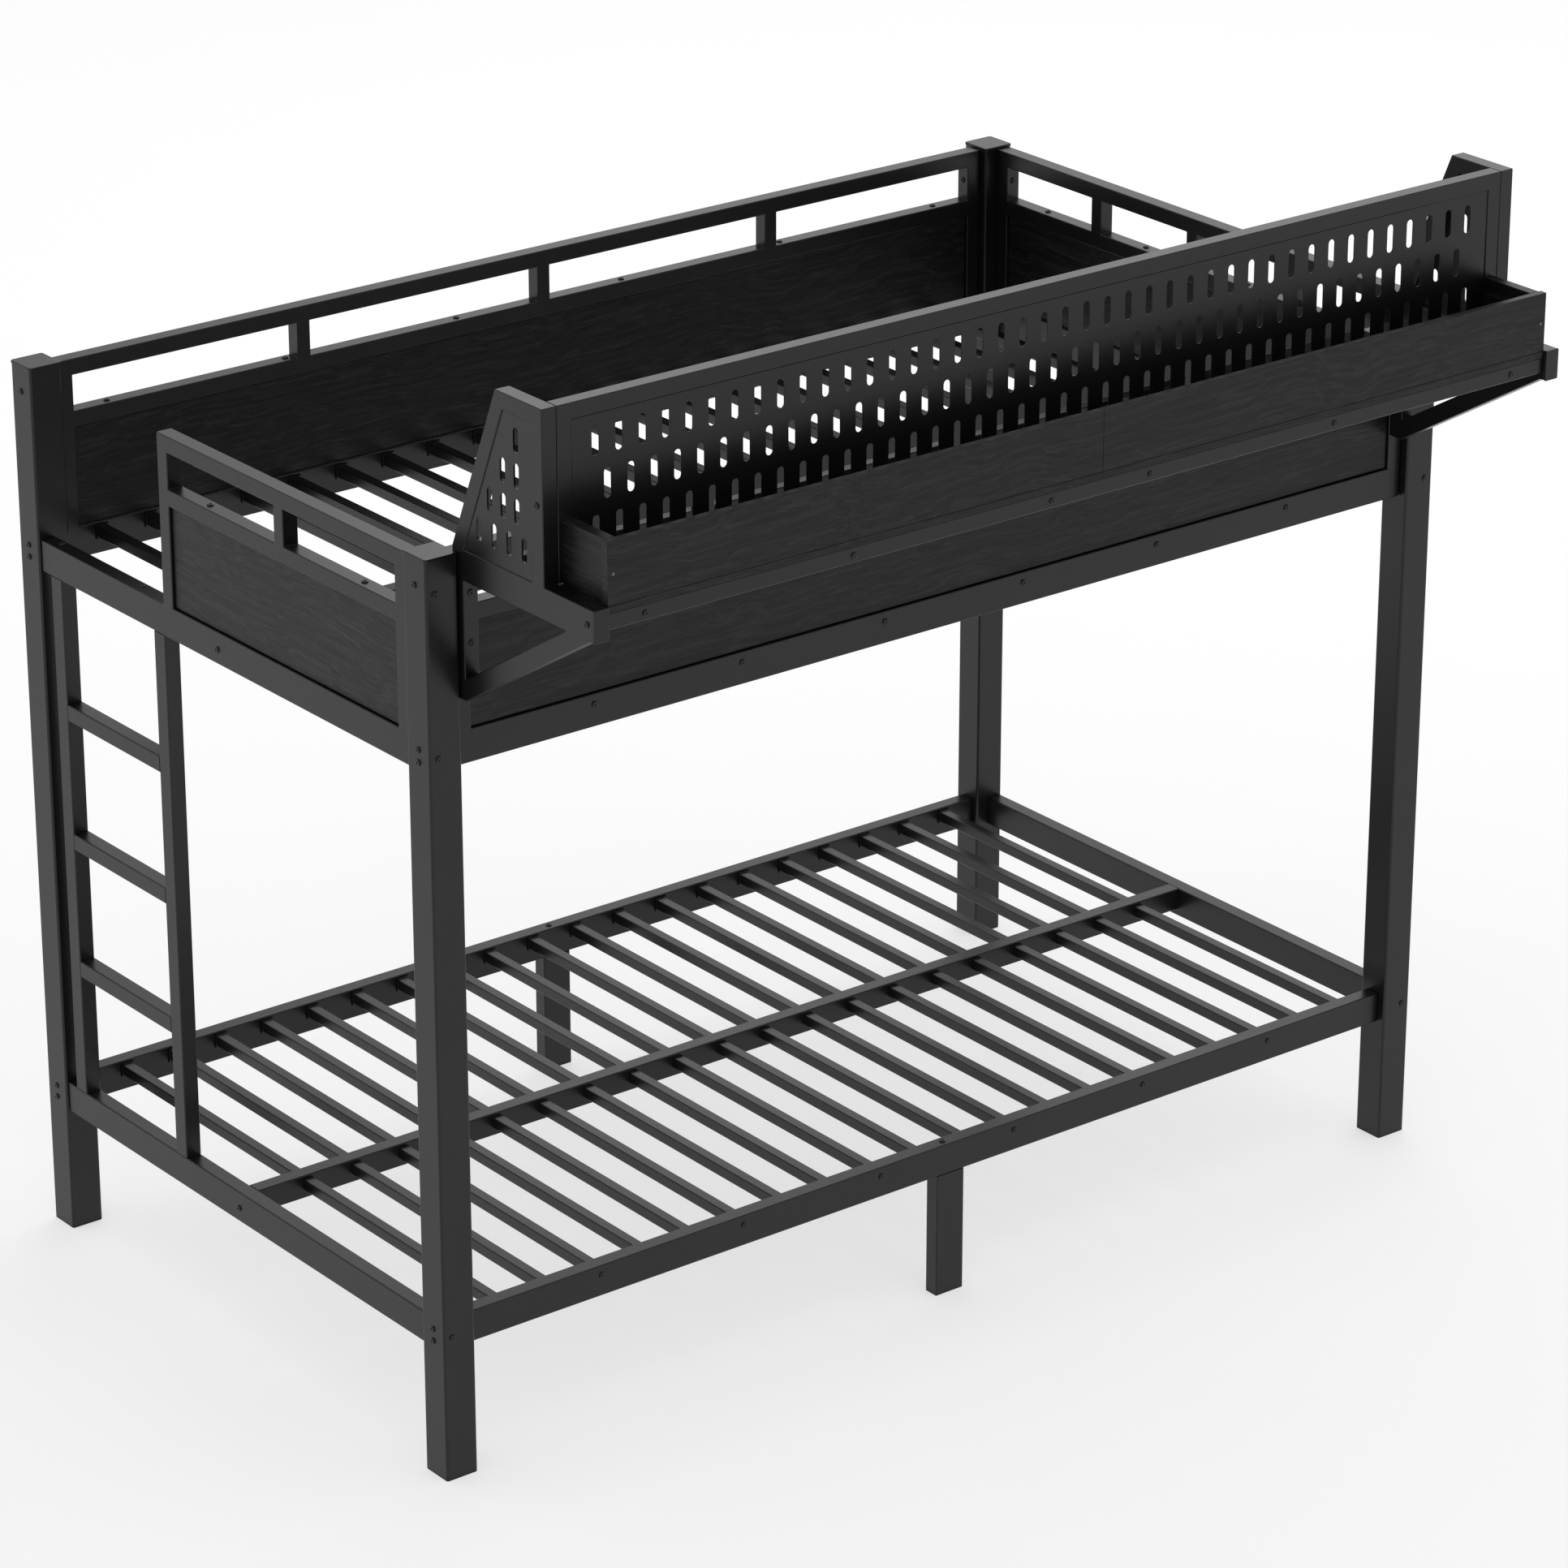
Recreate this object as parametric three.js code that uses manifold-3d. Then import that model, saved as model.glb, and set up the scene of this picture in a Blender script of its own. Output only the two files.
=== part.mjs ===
// Steel bunk bed with a ladder at its left end and a pegboard shelf hung on the front guard.
// Millimetres. +X runs along the bed to the right, -Y is the shelf side, +Z is up.
// Inside the group below, X = 0 is the middle of the bed and Y = 0 is the posts' front face.
import * as THREE from "three";
import { mergeVertices } from "three/addons/utils/BufferGeometryUtils.js";
import Module from "manifold-3d";

const wasm = await Module();
wasm.setup();

// Overall sizes, over the outside of the posts.
const bedLength = 2002.6;
const bedWidth = 1141.6;
const postTop = 1501;

// Posts, with a plastic cap on top and a plastic foot below.
const postSize = 57.2;
const postWall = 1.5;
const postCorner = 4;
const capHeight = 5;
const capOverhang = 1;
const footHeight = 3;
const plugDepth = 20;

// Rails of both decks. An inset is from the post's outer face to the rail's outer face.
const railHeight = 52.7;
const railThickness = 27.4;
const railWall = 1.5;
const railCorner = 2;
const sideRailInset = 15.6;
const endRailInset = 4.3;
const lowerRailBottom = 215.9;
const upperRailBottom = 1166.9;
const midLegWidth = 56;
const midLegOffset = 5;

// Centre rail and slats of a deck.
const centreRailWidth = 27;
const centreRailHeight = 40;
const slatSize = 19;
const slatWall = 1.2;
const slatDrop = 6.2;
const slatEndMargin = 126.3;
const slatPitchTarget = 92.1;

// Guards round the upper deck.
const guardTube = 27.4;
const balusterWidth = 25;
const guardWall = 1.5;
const guardTop = 1501;
const guardWindow = 59.4;
const balusterPitchLong = 479;
const balusterPitchShort = 246.5;
const panelThickness = 18;

// Ladder. Its inset is from the posts' back face to the back of its rear stile.
const ladderInset = 83.3;
const ladderWidth = 334.5;
const stileWidth = 31.5;
const rungSize = 28;
const firstRungTop = 506.7;
const rungPitch = 224.6;
const rungCount = 3;

// Shelf brackets, seen from the side: heights, and depths in front of the guard.
const bracketThickness = 26;
const bracketWall = 1.5;
const bracketTop = 1780;
const bracketFoot = 1277.6;
const armTop = 1513.3;
const armHeight = 49;
const armReach = 343;
const rearBarDepth = 26;
const uprightReach = 226.5;
const uprightDepth = 30;
const topBarHeight = 26;
const slantBarDepth = 28.5;
const slantTopReach = 114;
const diagonalHeight = 33.5;
const diagonalSetback = 9;
const diagonalFootLip = 0.5;
const armCapThickness = 3.5;
const armCapOverhang = 0.5;

// Pegboard and the perforated plates, with upright slots.
const pegFrameDepth = 25;
const pegFrameBar = 26;
const plateThickness = 1.5;
const sidePlateThickness = 3.2;
const plateInset = 1.5;
const slotWidth = 12.5;
const pegSlotLength = 46;
const pegSlotPitch = 41.4;
const pegRowPitch = 67.5;
const pegEdgeMargin = 40;
const pegSlotSegments = 1;
const sideSlotLength = 38;
const sideSlotPitch = 33.4;
const sideSlotMargin = 35.5;
const sideRowPitch = 53.5;
const sideRowMargin = 38;
const sideFootSlotPitch = 37.2;
const sideFootMargin = 18.7;

// Box on the shelf arms.
const boxFrontThickness = 13;
const boxEndThickness = 18;
const boxFloorThickness = 11;
const boxHeight = 96.8;
const boxSideGap = 2.2;
const boxEndInset = 4.6;
const boxSetback = 2;
const shelfRailSize = 25.4;
const shelfRailSetback = 4;

// Clearances: touching pieces, rails against posts, panels in their frames.
const fit = 0.3;
const jointGap = 1.2;
const panelGap = 0.8;
const boardGap = 0.4;

// Places worked out from the sizes above.
const halfLength = bedLength / 2;
const guardFaceY = sideRailInset;
const guardEndX = halfLength - postSize - jointGap;
const bracketInnerX = guardEndX - bracketThickness;
const ladderBackY = bedWidth - ladderInset;
const ladderFrontY = ladderBackY - ladderWidth;
const midRailTop = guardTop - guardTube - guardWindow;
const bracketRearY = guardFaceY - fit;
const bracketFrontY = bracketRearY - uprightReach;
const armFrontY = bracketRearY - armReach;
const armCapFrontY = armFrontY - armCapThickness;
const pegRearY = bracketFrontY + pegFrameDepth;

const steel = () => new THREE.MeshStandardMaterial({ color: 0x3b3b3d, roughness: 0.55, metalness: 0.6 });
const board = () => new THREE.MeshStandardMaterial({ color: 0x2c2c2e, roughness: 0.6, metalness: 0 });
const plastic = () => new THREE.MeshStandardMaterial({ color: 0x202022, roughness: 0.5, metalness: 0 });

// The group's Y shift puts the middle of the whole object, shelf included, on the origin.
const bed = new THREE.Group();
bed.position.y = -(bedWidth + capOverhang + armCapFrontY) / 2;

// A closed three.js geometry as a manifold solid.
function solid(geometry) {
  const bare = geometry.clone();
  bare.deleteAttribute("normal");
  bare.deleteAttribute("uv");
  const merged = mergeVertices(bare);
  return new wasm.Manifold(
    new wasm.Mesh({
      numProp: 3,
      vertProperties: new Float32Array(merged.attributes.position.array),
      triVerts: new Uint32Array(merged.index.array),
    }),
  );
}

// Adds a solid to the bed as a named mesh.
function add(name, shape, material) {
  const { vertProperties, triVerts } = shape.getMesh();
  const geometry = new THREE.BufferGeometry();
  geometry.setAttribute("position", new THREE.BufferAttribute(vertProperties, 3));
  geometry.setIndex(new THREE.BufferAttribute(triVerts, 1));
  geometry.computeVertexNormals();
  const mesh = new THREE.Mesh(geometry, material);
  mesh.name = name;
  bed.add(mesh);
}

const join = (shapes) => shapes.reduce((whole, shape) => whole.add(shape));

// A box is given as its ranges: { x: [low, high], y: [low, high], z: [low, high] }.
function block(box) {
  const size = (range) => range[1] - range[0];
  const middle = (range) => (range[0] + range[1]) / 2;
  const geometry = new THREE.BoxGeometry(size(box.x), size(box.y), size(box.z));
  return solid(geometry.translate(middle(box.x), middle(box.y), middle(box.z)));
}

// A rectangle with rounded corners, as an outline over two ranges.
function roundedRectangle(Outline, [u0, u1], [v0, v1], corner) {
  const outline = new Outline();
  outline.absarc(u1 - corner, v0 + corner, corner, -Math.PI / 2, 0);
  outline.absarc(u1 - corner, v1 - corner, corner, 0, Math.PI / 2);
  outline.absarc(u0 + corner, v1 - corner, corner, Math.PI / 2, Math.PI);
  outline.absarc(u0 + corner, v0 + corner, corner, Math.PI, 1.5 * Math.PI);
  outline.closePath();
  return outline;
}

// The two directions across each axis, and an outline pushed along that axis.
const across = { x: ["y", "z"], y: ["z", "x"], z: ["x", "y"] };

function extrude(outline, axis, [start, end], curveSegments = 2) {
  const depth = end - start;
  const geometry = new THREE.ExtrudeGeometry(outline, { depth, bevelEnabled: false, curveSegments });
  geometry.translate(0, 0, start);
  const unit = { x: new THREE.Vector3(1, 0, 0), y: new THREE.Vector3(0, 1, 0), z: new THREE.Vector3(0, 0, 1) };
  const [u, v] = across[axis];
  return solid(geometry.applyMatrix4(new THREE.Matrix4().makeBasis(unit[u], unit[v], unit[axis])));
}

// A range or a box made smaller by the same amount on each side.
const inset = ([low, high], amount) => [low + amount, high - amount];
const insetBox = (box, amount) => ({
  x: inset(box.x, amount),
  y: inset(box.y, amount),
  z: inset(box.z, amount),
});

// An open-ended tube that fills a box and runs along one axis.
function tube(box, axis, wall, corner) {
  const [u, v] = across[axis];
  const outline = roundedRectangle(THREE.Shape, box[u], box[v], corner);
  const bore = new THREE.Path();
  const [u0, u1] = inset(box[u], wall);
  const [v0, v1] = inset(box[v], wall);
  bore.setFromPoints([
    new THREE.Vector2(u0, v0),
    new THREE.Vector2(u0, v1),
    new THREE.Vector2(u1, v1),
    new THREE.Vector2(u1, v0),
  ]);
  bore.closePath();
  outline.holes.push(bore);
  return extrude(outline, axis, box[axis]);
}

// A frame welded from hollow bars. A bar with an open axis is open at both of its ends.
function weldedFrame(bars, wall) {
  const hollow = bars.map(({ box, open }) => {
    const core = insetBox(box, wall);
    if (open) core[open] = inset(box[open], -wall);
    return block(core);
  });
  return join(bars.map(({ box }) => block(box))).subtract(join(hollow));
}

// Ranges that start at one place and have a length, and their mirror images in X or across the bed.
const from = (start, length) => [start, start + length];
const mirrorX = ([low, high]) => [-high, -low];
const mirrorY = ([low, high]) => [bedWidth - high, bedWidth - low];

// A post with its cap and its foot; each plug fits the tube's bore.
function post(corner, x, y) {
  add(`post_${corner}`, tube({ x, y, z: [footHeight, postTop] }, "z", postWall, postCorner), steel());
  const plugX = inset(x, postWall + fit);
  const plugY = inset(y, postWall + fit);
  const lid = extrude(
    roundedRectangle(THREE.Shape, inset(x, -capOverhang), inset(y, -capOverhang), postCorner),
    "z",
    from(postTop, capHeight),
  );
  add(`cap_${corner}`, lid.add(block({ x: plugX, y: plugY, z: [postTop - plugDepth, postTop] })), plastic());
  const sole = extrude(roundedRectangle(THREE.Shape, x, y, postCorner), "z", [0, footHeight]);
  const footPlug = block({ x: plugX, y: plugY, z: [0, footHeight + plugDepth] });
  add(`foot_${corner}`, sole.add(footPlug), plastic());
}

// A leg under the middle of a lower side rail, with its own foot.
function midLeg(side, y) {
  const x = from(midLegOffset - midLegWidth / 2, midLegWidth);
  const z = [footHeight, lowerRailBottom - fit];
  add(`leg_mid_${side}`, tube({ x, y, z }, "z", railWall, railCorner), steel());
  const sole = block({ x, y, z: [0, footHeight] });
  const plug = block({
    x: inset(x, railWall + fit),
    y: inset(y, railWall + fit),
    z: [0, footHeight + plugDepth],
  });
  add(`foot_mid_${side}`, sole.add(plug), plastic());
}

// Where the rails lie: side rails along X, end rails along Y.
const sideRailX = [-guardEndX, guardEndX];
const frontRailY = from(sideRailInset, railThickness);
const endRailY = inset([0, bedWidth], postSize + jointGap);
const leftRailX = from(-halfLength + endRailInset, railThickness);
const railZ = (bottom) => from(bottom, railHeight);

function lowerRails() {
  const z = railZ(lowerRailBottom);
  const side = (name, y) => add(name, tube({ x: sideRailX, y, z }, "x", railWall, railCorner), steel());
  const end = (name, x) => add(name, tube({ x, y: endRailY, z }, "y", railWall, railCorner), steel());
  side("rail_lower_front", frontRailY);
  side("rail_lower_back", mirrorY(frontRailY));
  end("rail_lower_left", leftRailX);
  end("rail_lower_right", mirrorX(leftRailX));
}

// A deck: a centre rail with a row of slats through it, reaching from side rail to side rail.
function deck(name, railBottom) {
  const top = railBottom + railHeight;
  const centreY = bedWidth / 2;
  const railX = inset([-halfLength, halfLength], endRailInset + railThickness + fit);
  const bars = [
    {
      box: {
        x: railX,
        y: [centreY - centreRailWidth / 2, centreY + centreRailWidth / 2],
        z: [top - centreRailHeight, top],
      },
      open: "x",
    },
  ];
  const span = bedLength - 2 * slatEndMargin;
  const gaps = Math.round(span / slatPitchTarget);
  for (let i = 0; i <= gaps; i++) {
    const middle = -span / 2 + (i * span) / gaps;
    bars.push({
      box: {
        x: [middle - slatSize / 2, middle + slatSize / 2],
        y: inset([0, bedWidth], sideRailInset + railThickness + fit),
        z: [top - slatDrop - slatSize, top - slatDrop],
      },
      open: "y",
    });
  }
  const hollow = bars.map(({ box, open }) => {
    const core = insetBox(box, open === "x" ? railWall : slatWall);
    core[open] = inset(box[open], -railWall);
    return block(core);
  });
  add(name, join(bars.map(({ box }) => block(box))).subtract(join(hollow)), steel());
}

// A guard in the plane of one side of the bed. Its axis runs along that side over the range
// "run", which the bottom rail's range may exceed; "thick" is the range across the side.
function guard(name, axis, { rail, run, thick, balusters }) {
  const other = axis === "x" ? "y" : "x";
  const bar = (along, z, open) => ({ box: { [axis]: along, [other]: thick, z }, open });
  const bars = [
    bar(rail, railZ(upperRailBottom), axis),
    bar(run, [guardTop - guardTube, guardTop]),
    bar(run, [midRailTop - guardTube, midRailTop]),
    bar(from(run[0], guardTube), [upperRailBottom, guardTop]),
    bar(from(run[1] - guardTube, guardTube), [upperRailBottom, guardTop]),
  ];
  for (const middle of balusters) {
    bars.push(bar(from(middle - balusterWidth / 2, balusterWidth), [midRailTop - guardTube, guardTop]));
  }
  add(`guard_${name}`, weldedFrame(bars, guardWall), steel());
  const face = (thick[1] - thick[0] - panelThickness) / 2;
  const panel = {
    [axis]: inset(run, guardTube + panelGap),
    [other]: inset(thick, face),
    z: inset([upperRailBottom + railHeight, midRailTop - guardTube], panelGap),
  };
  add(`panel_${name}`, block(panel), board());
}

function guards() {
  const threeAt = (middle, pitch) => [middle - pitch, middle, middle + pitch];
  const long = { rail: sideRailX, run: sideRailX, balusters: threeAt(0, balusterPitchLong) };
  guard("front", "x", { ...long, thick: frontRailY });
  guard("back", "x", { ...long, thick: mirrorY(frontRailY) });
  guard("right", "y", {
    rail: endRailY,
    run: endRailY,
    thick: mirrorX(leftRailX),
    balusters: threeAt(bedWidth / 2, balusterPitchShort),
  });
  const leftRun = [endRailY[0], ladderFrontY];
  guard("left", "y", {
    rail: endRailY,
    run: leftRun,
    thick: leftRailX,
    balusters: [(leftRun[0] + leftRun[1]) / 2],
  });
}

// Ladder: two stiles stand on the lower end rail and reach up under the upper one.
function ladder() {
  const z = [lowerRailBottom + railHeight + fit, upperRailBottom - fit];
  const stile = (name, y) => add(name, tube({ x: leftRailX, y, z }, "z", railWall, railCorner), steel());
  stile("ladder_stile_front", from(ladderFrontY, stileWidth));
  stile("ladder_stile_back", from(ladderBackY - stileWidth, stileWidth));
  for (let i = 0; i < rungCount; i++) {
    const top = firstRungTop + i * rungPitch;
    const box = {
      x: leftRailX,
      y: inset([ladderFrontY, ladderBackY], stileWidth + fit),
      z: [top - rungSize, top],
    };
    add(`ladder_rung_${i + 1}`, tube(box, "y", railWall, railCorner), steel());
  }
}

// An outline in the bracket's plane, from points (Y, Z).
const outlineOf = (Outline, points) =>
  new Outline().setFromPoints(points.map(([y, z]) => new THREE.Vector2(y, z)));

// The bracket's corner points in its plane, as Y and Z.
const rearInnerY = bracketRearY - rearBarDepth;
const uprightInnerY = bracketFrontY + uprightDepth;
const armBottom = armTop - armHeight;
const slantTopY = bracketRearY - slantTopReach;
const slantRun = slantTopReach / (bracketTop - armTop);
const slantY = (z, depth) => bracketRearY - (z - armTop) * slantRun - depth;
const diagonalFrontY = armFrontY + diagonalSetback;
const diagonalRise = (armBottom - bracketFoot) / (rearInnerY - diagonalFrontY);
const diagonalZ = (y, height) => bracketFoot + (rearInnerY - y) * diagonalRise + height;
const diagonalInnerY = rearInnerY - (armBottom - bracketFoot - diagonalHeight) / diagonalRise;

// The window for the perforated plate, smaller by "gap" on each side.
function plateWindow(gap) {
  const low = armTop + gap;
  const high = bracketTop - topBarHeight - gap;
  return [
    [uprightInnerY + gap, low],
    [slantY(low, slantBarDepth + gap), low],
    [slantY(high, slantBarDepth + gap), high],
    [uprightInnerY + gap, high],
  ];
}

function bracketSolid(x) {
  const outline = outlineOf(THREE.Shape, [
    [bracketRearY, bracketFoot],
    [bracketRearY, armTop],
    [slantTopY, bracketTop],
    [bracketFrontY, bracketTop],
    [bracketFrontY, armTop],
    [armFrontY, armTop],
    [armFrontY, armBottom],
    [diagonalFrontY, armBottom],
    [rearInnerY - diagonalFootLip, bracketFoot],
  ]);
  const triangle = [
    [rearInnerY, armBottom],
    [diagonalInnerY, armBottom],
    [rearInnerY, diagonalZ(rearInnerY, diagonalHeight)],
  ];
  const through = (points) => extrude(outlineOf(THREE.Shape, points), "x", inset(x, -1));
  const w = bracketWall;
  const innerX = inset(x, w);
  const bar = (y, z) => block({ x: innerX, y, z });
  const slanted = (points) => extrude(outlineOf(THREE.Shape, points), "x", innerX);
  const slantLow = armTop + w;
  const slantHigh = bracketTop - w;
  const diagonalRear = rearInnerY + 2 * w;
  const diagonalFront = diagonalFrontY + 4 * w;
  const hollow = [
    bar([armFrontY - w, bracketRearY - 2 * w], inset([armBottom, armTop], w)),
    bar([rearInnerY + w, bracketRearY - 2 * w], [bracketFoot + w, slantLow + w]),
    bar(inset([bracketFrontY, uprightInnerY], w), [armBottom + w, bracketTop - w]),
    bar([bracketFrontY + w, slantTopY - 2 * w], inset([bracketTop - topBarHeight, bracketTop], w)),
    slanted([
      [slantY(slantLow, slantBarDepth - 2 * w), slantLow],
      [slantY(slantLow, 2 * w), slantLow],
      [slantY(slantHigh, 2 * w), slantHigh],
      [slantY(slantHigh, slantBarDepth - 2 * w), slantHigh],
    ]),
    slanted([
      [diagonalFront, diagonalZ(diagonalFront, 2 * w)],
      [diagonalRear, diagonalZ(diagonalRear, 2 * w)],
      [diagonalRear, diagonalZ(diagonalRear, diagonalHeight - 2 * w)],
      [diagonalFront, diagonalZ(diagonalFront, diagonalHeight - 2 * w)],
    ]),
  ];
  const openings = [through(plateWindow(0)), through(triangle), ...hollow];
  return extrude(outline, "x", x).subtract(join(openings));
}

// An upright slot with round ends, as a hole in an outline over (across, Z).
function slot(u, z, length) {
  const radius = slotWidth / 2;
  const straight = length / 2 - radius;
  const outline = new THREE.Path();
  outline.absarc(u, z + straight, radius, 0, Math.PI);
  outline.absarc(u, z - straight, radius, Math.PI, 2 * Math.PI);
  outline.closePath();
  return outline;
}

// The side plate's slots stand in a triangle: one, two and three in line, then a foot row of four.
function sidePlate(x) {
  const plate = outlineOf(THREE.Shape, plateWindow(fit));
  const firstY = uprightInnerY + sideSlotMargin;
  const topRowZ = bracketTop - topBarHeight - sideRowMargin;
  for (let row = 0; row < 3; row++) {
    for (let i = 0; i <= row; i++) {
      plate.holes.push(slot(firstY + i * sideSlotPitch, topRowZ - row * sideRowPitch, sideSlotLength));
    }
  }
  for (let i = 0; i < 4; i++) {
    const y = uprightInnerY + sideFootMargin + i * sideFootSlotPitch;
    plate.holes.push(slot(y, topRowZ - 3 * sideRowPitch, sideSlotLength));
  }
  return extrude(plate, "x", x);
}

function brackets() {
  const rightX = [bracketInnerX, guardEndX];
  const rightPlateX = from(guardEndX - plateInset - sidePlateThickness, sidePlateThickness);
  add("bracket_right", bracketSolid(rightX), steel());
  add("bracket_left", bracketSolid(mirrorX(rightX)), steel());
  add("side_plate_right", sidePlate(rightPlateX), steel());
  add("side_plate_left", sidePlate(mirrorX(rightPlateX)), steel());
  const lidX = inset(rightX, -armCapOverhang);
  const lidZ = inset([armBottom, armTop], -armCapOverhang);
  const plugX = inset(rightX, bracketWall + fit);
  const plugZ = inset([armBottom, armTop], bracketWall + fit);
  const cap = (x, plug) =>
    block({ x, y: [armCapFrontY, armFrontY], z: lidZ }).add(
      block({ x: plug, y: [armFrontY, armFrontY + plugDepth], z: plugZ }),
    );
  add("arm_cap_right", cap(lidX, plugX), plastic());
  add("arm_cap_left", cap(mirrorX(lidX), mirrorX(plugX)), plastic());
}

// The pegboard: a welded frame between the brackets' uprights, with a slotted plate let in.
function pegboard() {
  const x = inset([-bracketInnerX, bracketInnerX], fit);
  const y = [bracketFrontY, pegRearY];
  const z = [armTop, bracketTop];
  const bars = [
    { box: { x, y, z: from(z[0], pegFrameBar) }, open: "x" },
    { box: { x, y, z: from(z[1] - pegFrameBar, pegFrameBar) }, open: "x" },
    { box: { x: from(x[0], pegFrameBar), y, z } },
    { box: { x: from(x[1] - pegFrameBar, pegFrameBar), y, z } },
  ];
  add("pegboard_frame", weldedFrame(bars, bracketWall), steel());

  // The plate lies in the frame's plane, so its outline is over (Z, X) and is pushed along Y.
  const [x0, x1] = inset(x, pegFrameBar + fit);
  const [z0, z1] = inset(z, pegFrameBar + fit);
  const plate = outlineOf(THREE.Shape, [[z0, x0], [z1, x0], [z1, x1], [z0, x1]]);
  const middleZ = (z0 + z1) / 2;
  const plateWidth = x1 - x0;
  for (let row = -1; row <= 1; row++) {
    const widest = Math.floor((plateWidth - 2 * pegEdgeMargin) / pegSlotPitch);
    const gaps = row === 0 ? widest - 1 : widest;
    for (let i = 0; i <= gaps; i++) {
      const radius = slotWidth / 2;
      const straight = pegSlotLength / 2 - radius;
      const slotX = (i - gaps / 2) * pegSlotPitch;
      const slotZ = middleZ + row * pegRowPitch;
      const hole = new THREE.Path();
      hole.absarc(slotZ + straight, slotX, radius, -Math.PI / 2, Math.PI / 2);
      hole.absarc(slotZ - straight, slotX, radius, Math.PI / 2, 1.5 * Math.PI);
      hole.closePath();
      plate.holes.push(hole);
    }
  }
  const plateY = from(bracketFrontY + plateInset, plateThickness);
  add("pegboard_plate", extrude(plate, "y", plateY, pegSlotSegments), steel());
}

// The box: two halves side by side, each with a floor, a front and one end, on the front rail.
function shelfBox() {
  const railX = inset([-bracketInnerX, bracketInnerX], fit);
  const railMiddleZ = (armTop + armBottom) / 2;
  const railZRange = from(railMiddleZ - shelfRailSize / 2, shelfRailSize);
  const railY = from(armFrontY + shelfRailSetback, shelfRailSize);
  add("shelf_rail", tube({ x: railX, y: railY, z: railZRange }, "x", bracketWall, railCorner), steel());

  const outerX = bracketInnerX - boxSideGap;
  const floorZ = from(railZRange[1] + fit, boxFloorThickness);
  const wallZ = from(floorZ[1] + fit, boxHeight);
  const backY = bracketFrontY - boardGap;
  const frontY = from(armFrontY + boxSetback, boxFrontThickness);
  const half = (side, flip) => {
    const frontX = flip([boardGap / 2, outerX]);
    const endX = flip(from(outerX - boxEndInset - boxEndThickness, boxEndThickness));
    add(`box_floor_${side}`, block({ x: frontX, y: [frontY[0], backY], z: floorZ }), board());
    add(`box_front_${side}`, block({ x: frontX, y: frontY, z: wallZ }), board());
    add(`box_end_${side}`, block({ x: endX, y: [frontY[1] + fit, backY], z: wallZ }), board());
  };
  half("left", mirrorX);
  half("right", (range) => range);
}

const rightX = [halfLength - postSize, halfLength];
const frontY = [0, postSize];
post("front_left", mirrorX(rightX), frontY);
post("front_right", rightX, frontY);
post("back_left", mirrorX(rightX), mirrorY(frontY));
post("back_right", rightX, mirrorY(frontY));
midLeg("front", frontRailY);
midLeg("back", mirrorY(frontRailY));
lowerRails();
deck("deck_lower", lowerRailBottom);
deck("deck_upper", upperRailBottom);
guards();
ladder();
brackets();
pegboard();
shelfBox();

export default bed;
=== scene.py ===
import math

import bpy
import numpy as np
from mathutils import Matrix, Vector
from mathutils.geometry import delaunay_2d_cdt


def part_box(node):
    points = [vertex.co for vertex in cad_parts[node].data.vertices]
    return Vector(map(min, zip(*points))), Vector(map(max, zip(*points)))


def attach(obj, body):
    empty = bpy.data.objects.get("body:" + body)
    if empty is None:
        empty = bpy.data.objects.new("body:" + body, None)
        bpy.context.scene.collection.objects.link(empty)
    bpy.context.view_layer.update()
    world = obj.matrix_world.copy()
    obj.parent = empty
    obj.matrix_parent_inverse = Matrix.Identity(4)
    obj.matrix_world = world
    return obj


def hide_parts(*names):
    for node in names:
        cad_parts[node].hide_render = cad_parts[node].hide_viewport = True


# A steel bunk bed with slatted decks, panelled guards, a ladder and a pegboard shelf.
# Metres. +X runs from the ladder end to the other end, -Y is the shelf side, +Z is up.
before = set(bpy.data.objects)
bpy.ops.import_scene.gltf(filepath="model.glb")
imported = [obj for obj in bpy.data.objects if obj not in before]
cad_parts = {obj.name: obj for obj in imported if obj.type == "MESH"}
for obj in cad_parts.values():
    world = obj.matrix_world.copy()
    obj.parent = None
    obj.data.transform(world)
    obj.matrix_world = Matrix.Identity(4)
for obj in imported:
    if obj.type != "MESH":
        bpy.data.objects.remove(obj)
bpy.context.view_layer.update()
print("frame loaded:", len(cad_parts), "pieces")

mm = 0.001
across = {"x": (1, 2, 0), "y": (2, 0, 1), "z": (0, 1, 2)}   # columns of u, v and w for each axis


def box(node):
    # lowest and highest corner of a piece of the frame, as arrays
    low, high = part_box(node)
    return np.array(low), np.array(high)


# outlines: a loop is (points, normals), both n by 2, with the material on its left

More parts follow.
